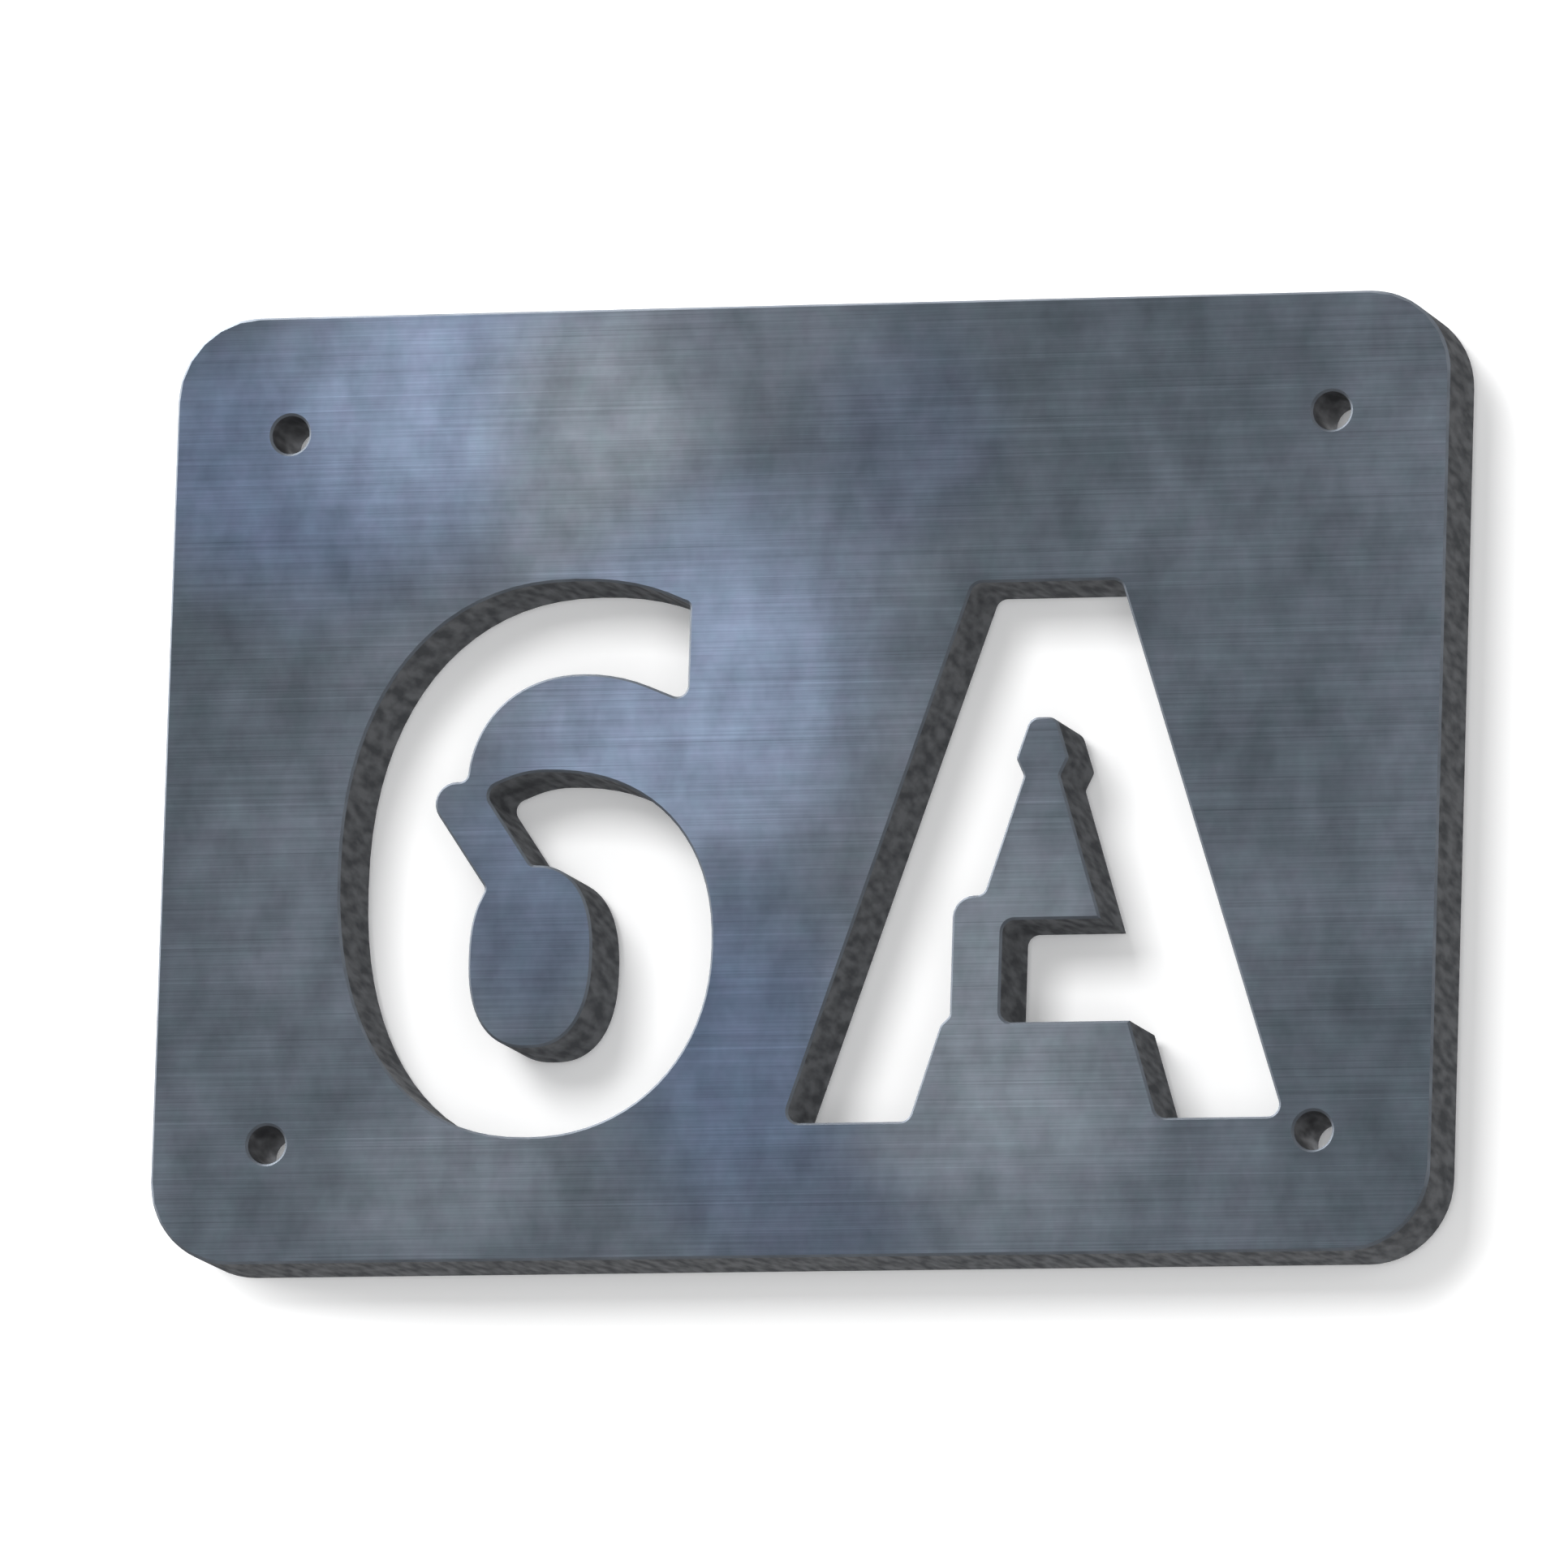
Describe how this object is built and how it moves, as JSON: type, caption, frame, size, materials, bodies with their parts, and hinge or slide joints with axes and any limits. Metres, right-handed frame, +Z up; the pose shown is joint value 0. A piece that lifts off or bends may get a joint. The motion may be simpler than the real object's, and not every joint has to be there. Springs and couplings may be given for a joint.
{
  "type": "house number plate",
  "caption": "Thick steel wall plate with rounded corners, a house number cut through it as stencil figures and a screw hole near each corner.",
  "frame": {"origin": "middle of the plate's back face, where it sits on the wall", "axes": "+Z up the wall, +Y out of the back into the wall, the front faces -Y"},
  "size_m": [0.22, 0.016, 0.16],
  "materials": {
    "plate": "horizontally brushed front with a soft cloudy patina, dark oxidised cut edges"
  },
  "bodies": {
    "root": {"plate": "plate"}
  },
  "joints": []
}
